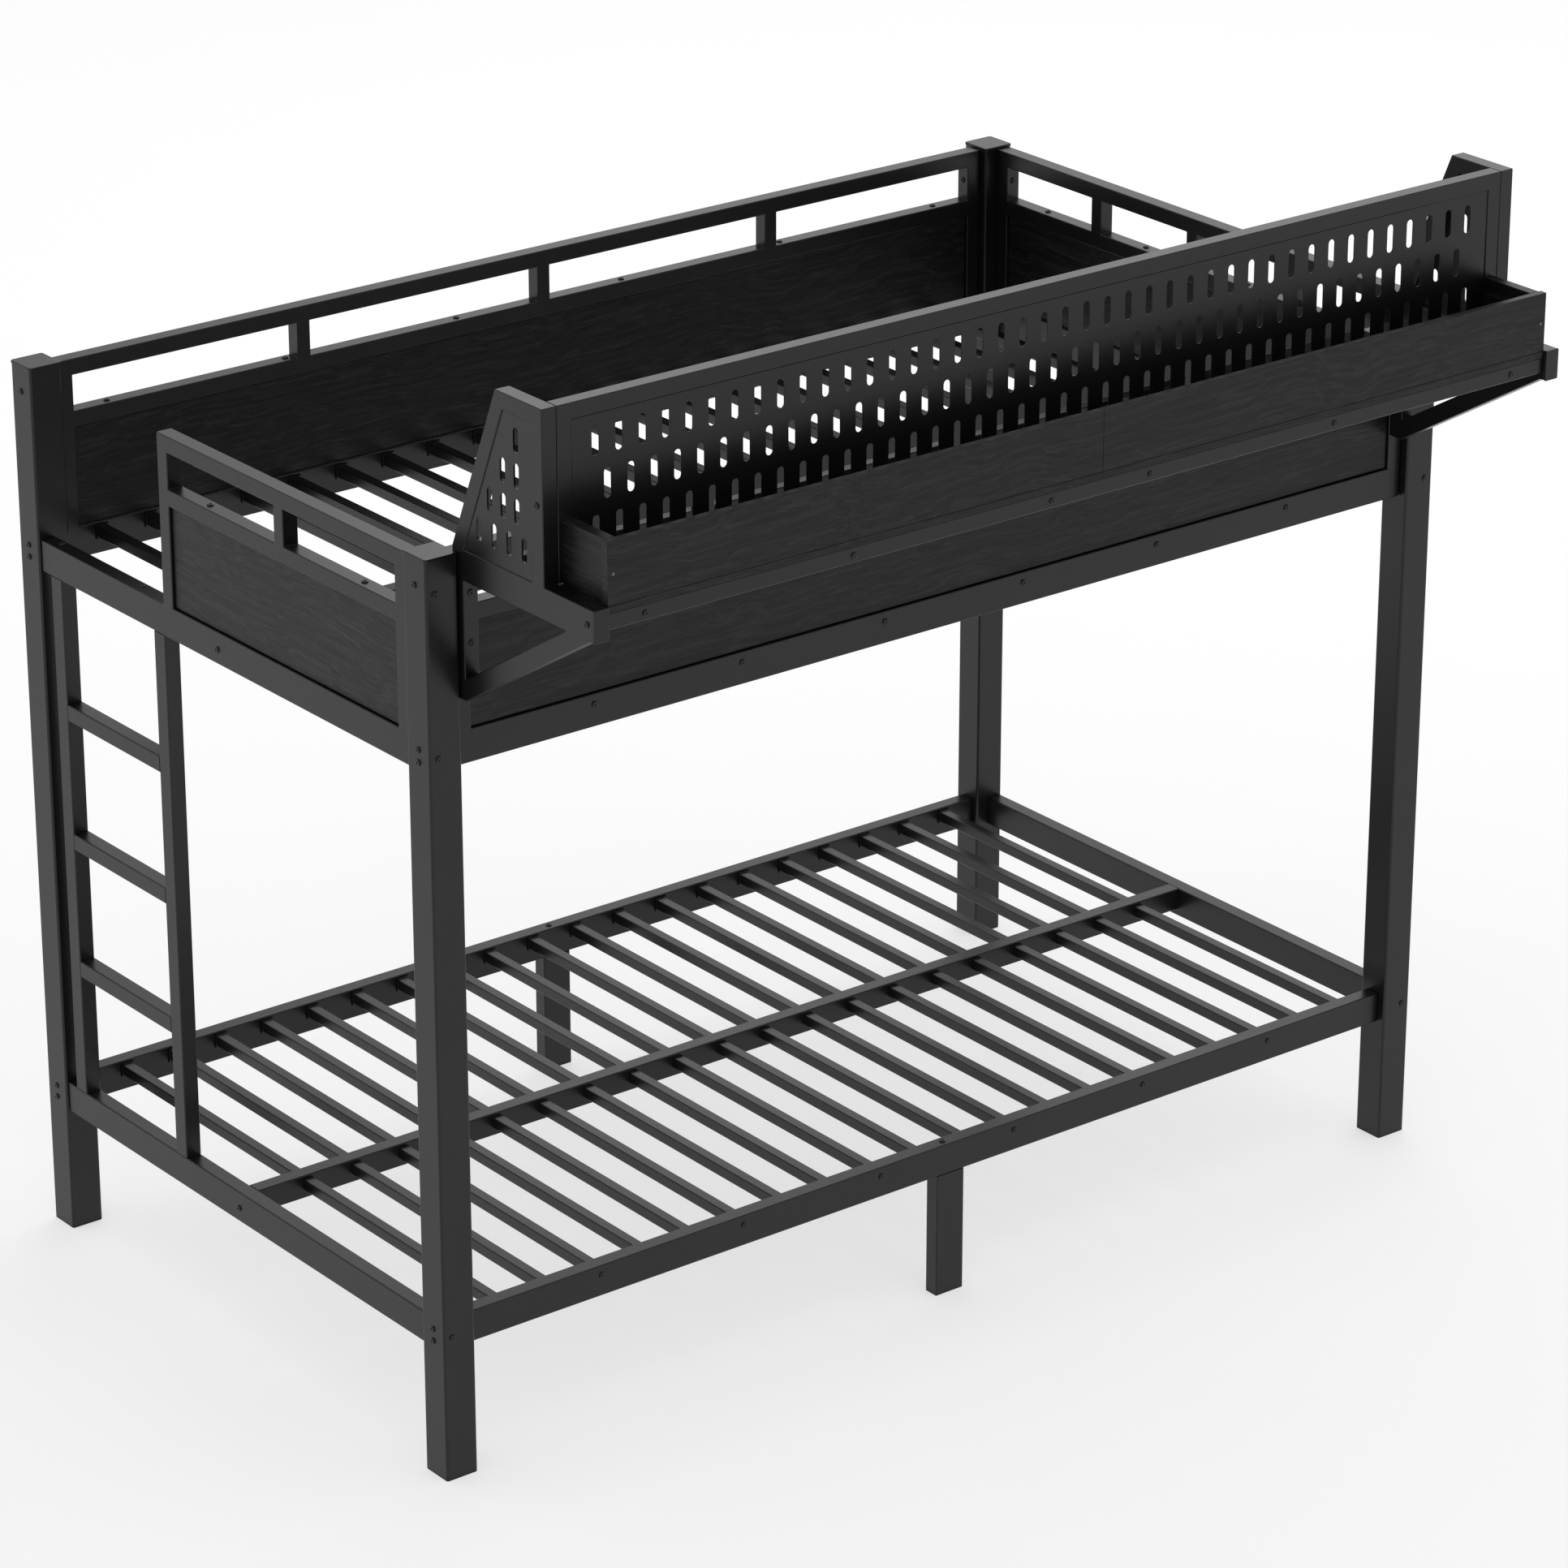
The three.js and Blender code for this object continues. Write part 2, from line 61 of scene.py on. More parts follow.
def roundedLoop(corners, radius, steps=3):
    # P(i, t) = C_i + s r n(t), where n turns from the edge before corner i to the edge after it
    # and C_i = V_i - s r (nIn + nOut) / (1 + nIn . nOut), with s = +1 at an outer corner and
    # -1 at an inner one
    v = np.asarray(corners, float)
    area = np.sum(v[:, 0] * np.roll(v[:, 1], -1) - v[:, 1] * np.roll(v[:, 0], -1))
    v = v if area > 0 else v[::-1]
    d = np.roll(v, -1, 0) - v
    d /= np.linalg.norm(d, axis=1)[:, None]
    dIn, dOut = np.roll(d, 1, 0), d
    nIn = np.stack([dIn[:, 1], -dIn[:, 0]], 1)
    nOut = np.stack([dOut[:, 1], -dOut[:, 0]], 1)
    turn = np.arctan2(dIn[:, 0] * dOut[:, 1] - dIn[:, 1] * dOut[:, 0], np.sum(dIn * dOut, 1))
    s = np.sign(turn)[:, None]
    r = np.broadcast_to(np.asarray(radius, float), (len(v),))[:, None]
    centre = v - s * r * (nIn + nOut) / (1 + np.sum(nIn * nOut, 1))[:, None]
    angle = np.arctan2(nIn[:, 1], nIn[:, 0])[:, None] + turn[:, None] * np.linspace(0, 1, steps + 1)
    n = np.stack([np.cos(angle), np.sin(angle)], 2)
    p = centre[:, None] + (s * r)[:, None] * n
    return p.reshape(-1, 2), n.reshape(-1, 2)


def rectangle(u, v, radius, steps=3):
    # the four corners of the ranges u and v, rounded
    return roundedLoop([(u[0], v[0]), (u[1], v[0]), (u[1], v[1]), (u[0], v[1])], radius, steps)


def slotLoop(u, v, width, length, steps=6, along="v"):
    # two half circles of radius width / 2, their centres (length - width) / 2 from the middle
    t = np.linspace(0, math.pi, steps + 1)
    angle = np.concatenate([t, t + math.pi])
    n = np.stack([np.cos(angle), np.sin(angle)], 1)
    shift = np.repeat([1.0, -1.0], steps + 1) * (length - width) / 2
    p = n * width / 2 + np.stack([np.zeros_like(shift), shift], 1)
    if along == "u":
        p, n = p[:, ::-1] * (1, -1), n[:, ::-1] * (1, -1)
    return p + (u, v), n


def hole(loop):
    # the same loop walked the other way, so that its normals point into the hole
    return loop[0][::-1], -loop[1][::-1]


# solids: a part is (points, normals, faces)

def prism(loops, axis, span, edge, rings=3):
    # each loop is carried along the axis with rounded rims: at angle a the rim lies
    # e (1 - sin a) in from the outline and e (1 - cos a) below the face, and its normal is
    # N sin a + W cos a
    edgeHigh, edgeLow = edge if isinstance(edge, tuple) else (edge, edge)
    a = np.linspace(0, math.pi / 2, rings + 1)
    inset = np.concatenate([edgeHigh * (1 - np.sin(a)), edgeLow * (1 - np.sin(a[::-1]))])
    level = np.concatenate([span[1] - edgeHigh * (1 - np.cos(a)),
                            span[0] + edgeLow * (1 - np.cos(a[::-1]))])
    outward = np.concatenate([np.sin(a), np.sin(a[::-1])])
    upward = np.concatenate([np.cos(a), -np.cos(a[::-1])])
    u, v, w = across[axis]
    points, normals, faces, count = [], [], [], 0
    high, low = [], []
    for p, n in loops:
        m, k = len(p), len(inset)
        grid = np.zeros((k, m, 3))
        grid[:, :, [u, v]] = p[None] - inset[:, None, None] * n[None]
        grid[:, :, w] = level[:, None]
        normal = np.zeros((k, m, 3))
        normal[:, :, [u, v]] = outward[:, None, None] * n[None]
        normal[:, :, w] = upward[:, None]
        index = count + np.arange(k * m).reshape(k, m)
        nextIndex = np.roll(index, -1, 1)
        quads = np.stack([index[1:], nextIndex[1:], nextIndex[:-1], index[:-1]], 2).reshape(-1, 4)
        points.append(grid.reshape(-1, 3))
        normals.append(normal.reshape(-1, 3))
        faces += quads.tolist()
        high.append(index[0])
        low.append(index[-1])
        count += k * m
    faces += faceBetween(loops, high, edgeHigh, False) + faceBetween(loops, low, edgeLow, True)
    return np.concatenate(points), np.concatenate(normals), faces


def faceBetween(loops, ids, edge, flip):
    # the flat face that fills the outline and leaves its holes open, as triangles
    flat = np.concatenate([p - edge * n for p, n in loops]) / mm
    ends = np.cumsum([len(p) for p, n in loops])
    start = np.arange(len(flat))
    after = start + 1
    after[ends - 1] = np.concatenate([[0], ends[:-1]])
    edges = np.stack([start, after], 1)
    found = delaunay_2d_cdt(flat.tolist(), edges.tolist(), [], 1, 1e-5)
    triangles = np.array(found[2])
    origin = np.array([o[0] for o in found[3]])
    ids = np.concatenate(ids)[origin]
    corners = flat[origin][triangles]
    # a triangle stays when a line from its middle crosses the outlines an odd number of times
    middle = corners.mean(1)[:, None]
    a, b = flat[edges[:, 0]][None], flat[edges[:, 1]][None]
    level = (a[..., 1] > middle[..., 1]) != (b[..., 1] > middle[..., 1])
    rise = np.where(b[..., 1] == a[..., 1], 1.0, b[..., 1] - a[..., 1])
    crossing = a[..., 0] + (middle[..., 1] - a[..., 1]) / rise * (b[..., 0] - a[..., 0])
    keep = np.sum(level & (crossing > middle[..., 0]), 1) % 2 == 1
    triangles, corners = triangles[keep], corners[keep]
    side, other = corners[:, 1] - corners[:, 0], corners[:, 2] - corners[:, 0]
    clockwise = (side[:, 0] * other[:, 1] - side[:, 1] * other[:, 0]) < 0
    triangles[clockwise] = triangles[clockwise][:, ::-1]
    triangles = ids[triangles]
    return (triangles[:, ::-1] if flip else triangles).tolist()


def bar(low, high, axis, corner, end=0.4 * mm, steps=3):
    # a tube or board that fills a box: its rounded section carried along one axis
    u, v, w = across[axis]
    section = rectangle((low[u], high[u]), (low[v], high[v]), corner, steps)
    return prism([section], axis, (low[w], high[w]), end, 2)


def join(parts):
    # one part from several, with the face numbers shifted on
    points, normals, faces, count = [], [], [], 0
    for p, n, f in parts:
        points.append(p)
        normals.append(n)
        faces += [[i + count for i in face] for face in f] if count else f
        count += len(p)
    return np.concatenate(points), np.concatenate(normals), faces


def copies(part, places):
    # the same part at each place: P + place
    return join([(part[0] + np.asarray(place), part[1], part[2]) for place in places])


def turned(part, axis):
    # a part made along +Z, turned so that its Z axis points along the given axis
    z = np.asarray(axis, float)
    x = np.array([0.0, 0.0, 1.0]) if abs(z[2]) < 0.5 else np.array([1.0, 0.0, 0.0])
    y = np.cross(z, x)
    turn = np.stack([x, y, z])
    return part[0] @ turn, part[1] @ turn, part[2]


def piece(name, part, material, slotName, *nodes):
    # puts a part into the scene, riding on the bed and standing for its nodes
    points, normals, faces = part
    mesh = bpy.data.meshes.new(name)
    mesh.from_pydata(points.tolist(), [], faces)
    mesh.polygons.foreach_set("use_smooth", np.ones(len(faces), bool))
    mesh.materials.append(material)
    mesh.normals_split_custom_set_from_vertices(normals.tolist())
    obj = bpy.data.objects.new(name, mesh)
    bpy.context.scene.collection.objects.link(obj)
    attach(obj, "root")
    if nodes:
        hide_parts(*nodes)
    return obj


# materials

class Nodes:
    # a small helper that adds and joins the nodes of one material
    def __init__(self, name):
        self.material = bpy.data.materials.new(name)
        self.material.use_nodes = True
        self.tree = self.material.node_tree
        self.shader = self.tree.nodes["Principled BSDF"]

    def add(self, kind, **values):
        node = self.tree.nodes.new(kind)
        for key, value in values.items():
            if key in node.inputs:
                node.inputs[key].default_value = value
            else:
                setattr(node, key, value)
        return node

    def link(self, source, target):
        self.tree.links.new(source, target)

    def place(self, scale, turn=(0, 0, 0)):
        mapping = self.add("ShaderNodeMapping", Scale=scale, Rotation=turn)
        self.link(self.add("ShaderNodeTexCoord").outputs["Object"], mapping.inputs["Vector"])
        return mapping.outputs["Vector"]

    def noise(self, vector, scale, detail=3.0, roughness=0.5, distortion=0.0):
        node = self.add("ShaderNodeTexNoise", Scale=scale, Detail=detail, Roughness=roughness,
                        Distortion=distortion)
        self.link(vector, node.inputs["Vector"])
        return node.outputs["Fac"]

    def ramp(self, value, stops):
        node = self.add("ShaderNodeValToRGB")
        band = node.color_ramp
        while len(band.elements) < len(stops):
            band.elements.new(0.5)
        for element, (place, colour) in zip(band.elements, stops):
            element.position = place
            element.color = (*colour, 1)
        self.link(value, node.inputs["Fac"])
        return node.outputs["Color"]

    def spread(self, value, low, high):
        node = self.add("ShaderNodeMapRange")
        node.inputs["To Min"].default_value = low
        node.inputs["To Max"].default_value = high
        self.link(value, node.inputs["Value"])
        return node.outputs["Result"]

    def bump(self, height, strength, distance, under=None):
        node = self.add("ShaderNodeBump", Strength=strength, Distance=distance)
        self.link(height, node.inputs["Height"])
        if under is not None:
            self.link(under, node.inputs["Normal"])
        return node.outputs["Normal"]


coatLook = {
    "dark": (0.0030, 0.0030, 0.0032),
    "light": (0.0046, 0.0046, 0.0048),
    "gloss": 0.37,
    "roughness": (0.29, 0.36),
    "driftSize": 9,        # slow changes of tone per metre
    "peelSize": 900,       # bumps of the powder coat per metre
    "peelStrength": 0.35,
    "peelDepth": 0.00004,
}


def powderCoat(name, look):
    # colour and roughness drift slowly with a wide noise; a fine noise gives the orange peel
    m = Nodes(name)
    vector = m.place((1, 1, 1))
    wide = m.noise(vector, look["driftSize"], 4, 0.6)
    fine = m.noise(vector, look["peelSize"], 2, 0.5)
    m.link(m.ramp(wide, [(0.3, look["dark"]), (0.7, look["light"])]), m.shader.inputs["Base Color"])
    m.link(m.spread(fine, *look["roughness"]), m.shader.inputs["Roughness"])
    m.link(m.bump(fine, look["peelStrength"], look["peelDepth"]), m.shader.inputs["Normal"])
    m.shader.inputs["Specular IOR Level"].default_value = look["gloss"]
    return m.material


grainLook = {
    "dark": (0.0004, 0.0004, 0.0005),
    "middle": (0.0045, 0.0045, 0.0048),
    "light": (0.0150, 0.0150, 0.0155),
    "gloss": 0.24,
    "roughness": (0.30, 0.50),
    "stretch": 0.045,      # how much slower the grain changes along the board than across it
    "waveSize": 5,         # slow waves of the grain per metre
    "wave": 0.05,          # how far they bend it
    "fibreSize": 150,
    "poreSize": 420,
    "poreTone": (0.75, 1.2),
    "strength": 0.8,
    "depth": 0.0006,
}


def blackGrain(name, along, look):
    # noise on coordinates squeezed along the board gives long fibres, and a finer one the open
    # pores; a slow noise times the wave is added to both, and the tone is fibres times pores
    m = Nodes(name)
    scale = [1.0, 1.0, 1.0]
    scale["xyz".index(along)] = look["stretch"]
    squeezed = m.place(scale)
    drift = m.noise(m.place((1, 1, 1)), look["waveSize"], 2, 0.5)
    bend = m.add("ShaderNodeVectorMath", operation="MULTIPLY_ADD")
    m.link(squeezed, bend.inputs[2])
    m.link(drift, bend.inputs[0])
    bend.inputs[1].default_value = (look["wave"],) * 3
    fibres = m.noise(bend.outputs["Vector"], look["fibreSize"], 6, 0.62, 0.6)
    pores = m.noise(bend.outputs["Vector"], look["poreSize"], 3, 0.6, 0.3)
    mixed = m.add("ShaderNodeMath", operation="MULTIPLY")
    m.link(fibres, mixed.inputs[0])
    m.link(m.spread(pores, *look["poreTone"]), mixed.inputs[1])
    m.link(m.ramp(mixed.outputs["Value"], [(0.30, look["dark"]), (0.48, look["middle"]),
                                           (0.68, look["light"])]), m.shader.inputs["Base Color"])
    m.link(m.spread(mixed.outputs["Value"], *look["roughness"][::-1]), m.shader.inputs["Roughness"])
    m.link(m.bump(mixed.outputs["Value"], look["strength"], look["depth"]), m.shader.inputs["Normal"])
    m.shader.inputs["Specular IOR Level"].default_value = look["gloss"]
    return m.material


plasticLook = dict(coatLook, dark=(0.0016, 0.0016, 0.0018), light=(0.0026, 0.0026, 0.0028),
                   roughness=(0.28, 0.35), peelSize=1600, peelDepth=0.00002)
# nearly black and matt: painted shade for the shadow gaps round the slat collars
paintedShadeLook = dict(coatLook, dark=(0.0015, 0.0015, 0.0016), light=(0.003, 0.003, 0.003),
                         gloss=0.1, roughness=(0.6, 0.7), peelSize=1200)
screwLook = {"dark": (0.10, 0.10, 0.105), "light": (0.16, 0.16, 0.165), "roughness": (0.24, 0.34),
             "markSize": 700}      # turned marks per metre


def screwSteel(name, look):
    # blackened steel: dark metal with turned marks from a fine noise
    m = Nodes(name)
    vector = m.place((1, 1, 1))
    fine = m.noise(vector, look["markSize"], 3, 0.6)
    m.link(m.ramp(fine, [(0.35, look["dark"]), (0.65, look["light"])]), m.shader.inputs["Base Color"])
    m.link(m.spread(fine, *look["roughness"]), m.shader.inputs["Roughness"])
    m.shader.inputs["Metallic"].default_value = 1.0
    return m.material


steel = powderCoat("charcoalPowderCoat", coatLook)
plastic = powderCoat("charcoalPlastic", plasticLook)
# a black matt sheet of painted shade, used for the rings in the shadow gaps round the slat collars
paintedShadeSheet = powderCoat("paintedShadowGap", paintedShadeLook)
woodAlongX = blackGrain("blackWoodAlongX", "x", grainLook)
woodAlongY = blackGrain("blackWoodAlongY", "y", grainLook)
screwMetal = screwSteel("blackenedSteel", screwLook)
print("materials made")


# posts, caps, feet and middle legs

posts = {"corner": 4.0 * mm, "capCorner": 4.6 * mm, "capRim": 1.6 * mm,
         "capFoot": 0.4 * mm, "rim": 0.5 * mm, "footHeight": 3 * mm, "footRim": 0.7 * mm,
         "legCorner": 2.2 * mm}
ends = ["front_left", "front_right", "back_left", "back_right"]
postTop = box("post_front_left")[1][2]

for end in ends:
    low, high = box("post_" + end)
    piece("corner_post_" + end, bar(low, high, "z", posts["corner"], posts["rim"], 5), steel, "steel",
          "post_" + end)
    low, high = box("cap_" + end)
    lid = rectangle((low[0], high[0]), (low[1], high[1]), posts["capCorner"], 5)
    piece("post_cap_" + end, prism([lid], "z", (postTop, high[2]), (posts["capRim"], posts["capFoot"])),
          plastic, "plastic", "cap_" + end)
    low, high = box("foot_" + end)
    sole = rectangle((low[0], high[0]), (low[1], high[1]), posts["corner"], 5)
    piece("post_foot_" + end, prism([sole], "z", (low[2], posts["footHeight"]), posts["footRim"]),
          plastic, "plastic", "foot_" + end)

for side in ("front", "back"):
    low, high = box("leg_mid_" + side)
    piece("middle_leg_" + side, bar(low, high, "z", posts["legCorner"]), steel, "steel",
          "leg_mid_" + side)
    low, high = box("foot_mid_" + side)
    sole = rectangle((low[0], high[0]), (low[1], high[1]), posts["legCorner"])
    piece("middle_foot_" + side, prism([sole], "z", (low[2], posts["footHeight"]), posts["footRim"]),
          plastic, "plastic", "foot_mid_" + side)
print("posts made")


# lower rails

rails = {"corner": 2.4 * mm, "height": 52.7 * mm}
for name, axis in (("front", "x"), ("back", "x"), ("left", "y"), ("right", "y")):
    low, high = box("rail_lower_" + name)
    piece("lower_rail_" + name, bar(low, high, axis, rails["corner"]), steel, "steel",
          "rail_lower_" + name)
print("lower rails made")


# decks: a centre rail, slats through it, and a collar round each slat's end

# the gap and its depth size the black ring of painted shade round each slat collar
deck = {"slat": 19 * mm, "drop": 6.2 * mm, "margin": 126.3 * mm, "pitch": 92.1 * mm, "corner": 1.9 * mm,
        "centreWidth": 27 * mm, "centreHeight": 40 * mm, "bedLength": 2002.6 * mm,
        "collar": 1.7 * mm, "collarDepth": 3.2 * mm, "gap": 1.5 * mm, "shadeSheetDepth": 0.5 * mm,
        "collarSunk": 0.25 * mm, "collarRim": 0.25 * mm, "collarHoleCorner": 1.0 * mm,
        "slatOverlap": 0.3 * mm}


def buildDeck(level):
    # slat i stands at x = -span / 2 + i span / (count - 1), with the count nearest to the pitch
    node = "deck_" + level
    low, high = box(node)
    top, middle = high[2], (low[1] + high[1]) / 2
    half = deck["centreWidth"] / 2
    centre = bar((low[0], middle - half, top - deck["centreHeight"]), (high[0], middle + half, top),
                 "x", rails["corner"])
    piece("centre_rail_" + level, centre, steel, "steel", node)
    span = deck["bedLength"] - 2 * deck["margin"]
    count = round(span / deck["pitch"]) + 1
    x = np.linspace(-span / 2, span / 2, count)
    slatTop = top - deck["drop"]
    s = deck["slat"] / 2
    slat = bar((-s, low[1], slatTop - 2 * s), (s, high[1], slatTop), "y", deck["corner"])
    places = np.stack([x, 0 * x, 0 * x], 1)
    piece("slats_" + level, copies(slat, places), steel, "steel")

    # a thin collar stands out of the rail round the slat, over a black ring of painted shade where the
    # shadow gap lies
    collarOuter, shadeRingHalf = s + deck["collar"], s + deck["collar"] + deck["gap"]
    z = slatTop - s
    inner = s - deck["slatOverlap"]
    collars, paintedShadeRings = [], []
    for face, out in ((low[1], 1), (high[1], -1)):
        for part, size, depth in ((collars, collarOuter, deck["collarDepth"]),
                                  (paintedShadeRings, shadeRingHalf, deck["shadeSheetDepth"])):
            loops = [rectangle((z - size, z + size), (-size, size), deck["corner"]),
                     hole(rectangle((z - inner, z + inner), (-inner, inner), deck["collarHoleCorner"]))]
            y = sorted((face - out * deck["collarSunk"], face + out * depth))
            part.append(copies(prism(loops, "y", y, deck["collarRim"], 1), places))
    piece("slat_collars_" + level, join(collars), steel, "steel")
    # black rings of painted shade where the shadow gap round each collar lies
    piece("slat_painted_shade_rings_" + level, join(paintedShadeRings), paintedShadeSheet, "plastic")


buildDeck("lower")
buildDeck("upper")
print("decks made")


# guards: a welded frame with a row of windows over one board

guard = {"tube": 27.4 * mm, "baluster": 25 * mm, "window": 59.4 * mm, "longPitch": 479 * mm,
         "shortPitch": 246.5 * mm, "board": 18 * mm, "edge": 1.8 * mm, "corner": 2.0 * mm,
         "inner": 0.8 * mm, "boardGap": 1.5 * mm, "boardEdge": 0.8 * mm}


def buildGuard(name, axis, balusters, material, run=None):
    # outline and windows lie in the plane of the axis and Z, and the frame is as thick as its
    # node; window i runs from half a baluster after bar i - 1 to half a baluster before bar i
    node = "guard_" + name
    low, high = box(node)
    along, through = ("xyz".index(axis), "xyz".index("y" if axis == "x" else "x"))
    rail = (low[along], high[along])
    run = run or rail
    bottom, top, t = low[2], high[2], guard["tube"]
    railTop = bottom + rails["height"]
    midTop = top - t - guard["window"]

    def oriented(corners, radius):
        # for a guard along X the plane's own order is (Z, X), along Y it is (Y, Z)
        return roundedLoop([(c[1], c[0]) for c in corners] if axis == "x" else corners, radius)

    def loop(a, z, radius):
        # the four corners of a range along the guard and a range of heights
        corners = [(a[0], z[0]), (a[1], z[0]), (a[1], z[1]), (a[0], z[1])]
        return oriented(corners, radius)

    outline = [(rail[0], bottom), (rail[1], bottom), (rail[1], railTop), (run[1], railTop),
               (run[1], top), (run[0], top), (run[0], railTop), (rail[0], railTop)]
    if run == rail:
        outline = [(rail[0], bottom), (rail[1], bottom), (rail[1], top), (rail[0], top)]
    elif run[0] == rail[0]:
        outline = outline[:6]
    loops = [oriented(outline, guard["corner"])]
    half = guard["baluster"] / 2
    starts = [run[0] + t, *[b + half for b in balusters]]
    stops = [*[b - half for b in balusters], run[1] - t]
    for a, b in zip(starts, stops):
        loops.append(hole(loop((a, b), (midTop, top - t), guard["inner"])))
    inside = (run[0] + t, run[1] - t)
    loops.append(hole(loop(inside, (railTop, midTop - t), guard["inner"])))
    span = (low[through], high[through])
    flat = "y" if axis == "x" else "x"
    piece("guard_frame_" + name, prism(loops, flat, span, guard["edge"]), steel, "steel", node)

    g = guard["boardGap"]
    middle = sum(span) / 2
    board = loop((inside[0] + g, inside[1] - g), (railTop + g, midTop - t - g), guard["boardEdge"])
    depth = (middle - guard["board"] / 2, middle + guard["board"] / 2)
    piece("guard_board_" + name, prism([board], flat, depth, guard["boardEdge"]), material, "board",
          "panel_" + name)
    return {"midTop": midTop, "middle": middle, "run": run, "inside": inside}


endLow, endHigh = box("guard_right")
endMiddle = (endLow[1] + endHigh[1]) / 2
leftRun = (box("guard_left")[0][1], float(box("ladder_stile_front")[0][1]))
threeAt = lambda middle, pitch: [middle - pitch, middle, middle + pitch]
guards = {
    "front": buildGuard("front", "x", threeAt(0, guard["longPitch"]), woodAlongX),
    "back": buildGuard("back", "x", threeAt(0, guard["longPitch"]), woodAlongX),
    "right": buildGuard("right", "y", threeAt(endMiddle, guard["shortPitch"]), woodAlongY),
    "left": buildGuard("left", "y", [sum(leftRun) / 2], woodAlongY, leftRun),
}
print("guards made")


# ladder

ladder = {"corner": 2.2 * mm}
for side in ("front", "back"):
    low, high = box("ladder_stile_" + side)
    piece("ladder_side_" + side, bar(low, high, "z", ladder["corner"]), steel, "steel",
          "ladder_stile_" + side)
for step in (1, 2, 3):
    low, high = box(f"ladder_rung_{step}")
    piece(f"ladder_step_{step}", bar(low, high, "y", ladder["corner"]), steel, "steel",
          f"ladder_rung_{step}")
print("ladder made")


# shelf brackets and their perforated side plates

bracket = {"armTop": 1513.3 * mm, "armHeight": 49 * mm, "rearBar": 26 * mm, "uprightReach": 226.5 * mm,
           "uprightDepth": 30 * mm, "topBar": 26 * mm, "slantBar": 28.5 * mm, "slantReach": 114 * mm,
           "diagonal": 33.5 * mm, "setback": 9 * mm, "edge": 1.6 * mm, "corner": 1.8 * mm,
           "plateSetIn": 1.5 * mm, "plate": 3.2 * mm, "plateGap": 0.35 * mm, "slotWidth": 12.5 * mm,
           "slotLength": 38 * mm, "slotPitch": 33.4 * mm, "slotMargin": 35.5 * mm, "rowPitch": 53.5 * mm,
           "rowMargin": 38 * mm, "footPitch": 37.2 * mm, "footMargin": 18.7 * mm,
           "inner": 0.8 * mm, "plateCorner": 0.6 * mm, "plateRim": 0.3 * mm, "capCorner": 2.2 * mm,
           "capFoot": 1.0 * mm, "capFace": 0.2 * mm}


def bracketPlaces(low, high):
    # the corner heights and depths of the bracket, from its box
    b = bracket
    p = {"rear": high[1], "front": low[1], "foot": low[2], "top": high[2]}
    p["armTop"], p["armBottom"] = b["armTop"], b["armTop"] - b["armHeight"]
    p["rearInner"] = p["rear"] - b["rearBar"]
    p["uprightFront"] = p["rear"] - b["uprightReach"]
    p["uprightInner"] = p["uprightFront"] + b["uprightDepth"]
    p["slantTop"] = p["rear"] - b["slantReach"]
    p["diagonalFront"] = p["front"] + b["setback"]
    p["rise"] = (p["armBottom"] - p["foot"]) / (p["rearInner"] - p["diagonalFront"])
    p["diagonalInner"] = p["rearInner"] - (p["armBottom"] - p["foot"] - b["diagonal"]) / p["rise"]
    return p


def plateWindow(p, gap):
    # the four-sided opening between the upright, the arm, the slanted bar and the top bar
    run = bracket["slantReach"] / (p["top"] - p["armTop"])
    slant = lambda z: p["rear"] - (z - p["armTop"]) * run - bracket["slantBar"] - gap
    z0, z1 = p["armTop"] + gap, p["top"] - bracket["topBar"] - gap
    edge = p["uprightInner"] + gap
    return [(edge, z0), (slant(z0), z0), (slant(z1), z1), (edge, z1)]


def buildBracket(side, out):
    # the whole frame is one outline with two holes; slot i of row j lies i pitches along
    # and j row pitches down
    b = bracket
    low, high = box("bracket_" + side)
    p = bracketPlaces(low, high)
    outline = [(p["rear"], p["foot"]), (p["rear"], p["armTop"]), (p["slantTop"], p["top"]),
               (p["uprightFront"], p["top"]), (p["uprightFront"], p["armTop"]),
               (p["front"], p["armTop"]), (p["front"], p["armBottom"]),
               (p["diagonalFront"], p["armBottom"]), (p["rearInner"], p["foot"])]
    triangle = [(p["rearInner"], p["armBottom"]), (p["diagonalInner"], p["armBottom"]),
                (p["rearInner"], p["foot"] + b["diagonal"])]
    loops = [roundedLoop(outline, b["corner"]), hole(roundedLoop(triangle, b["inner"])),
             hole(roundedLoop(plateWindow(p, 0), b["inner"]))]
    piece("shelf_bracket_" + side, prism(loops, "x", (low[0], high[0]), b["edge"]), steel, "steel",
          "bracket_" + side)

    # slots in rows of one, two and three, then a foot row of four
    plate = [roundedLoop(plateWindow(p, b["plateGap"]), b["plateCorner"])]
    first, topRow = p["uprightInner"] + b["slotMargin"], p["top"] - b["topBar"] - b["rowMargin"]
    rows = [(first + i * b["slotPitch"], topRow - row * b["rowPitch"]) for row in range(3)
            for i in range(row + 1)]
    rows += [(p["uprightInner"] + b["footMargin"] + i * b["footPitch"], topRow - 3 * b["rowPitch"])
             for i in range(4)]
    plate += [hole(slotLoop(y, z, b["slotWidth"], b["slotLength"])) for y, z in rows]
    face = high[0] if out > 0 else low[0]
    x = sorted((face - out * b["plateSetIn"], face - out * (b["plateSetIn"] + b["plate"])))
    piece("perforated_side_" + side, prism(plate, "x", x, b["plateRim"], 2), steel, "steel",
          "side_plate_" + side)

    capLow, capHigh = box("arm_cap_" + side)
    lid = rectangle((capLow[2], capHigh[2]), (capLow[0], capHigh[0]), b["capCorner"], 4)
    capBlock = prism([lid], "y", (capLow[1], p["front"]), (b["capFace"], b["capFoot"]))
    piece("bracket_end_cap_" + side, capBlock, plastic, "plastic", "arm_cap_" + side)
    return p


bracketPlace = buildBracket("right", 1)
buildBracket("left", -1)
print("brackets made")


# pegboard

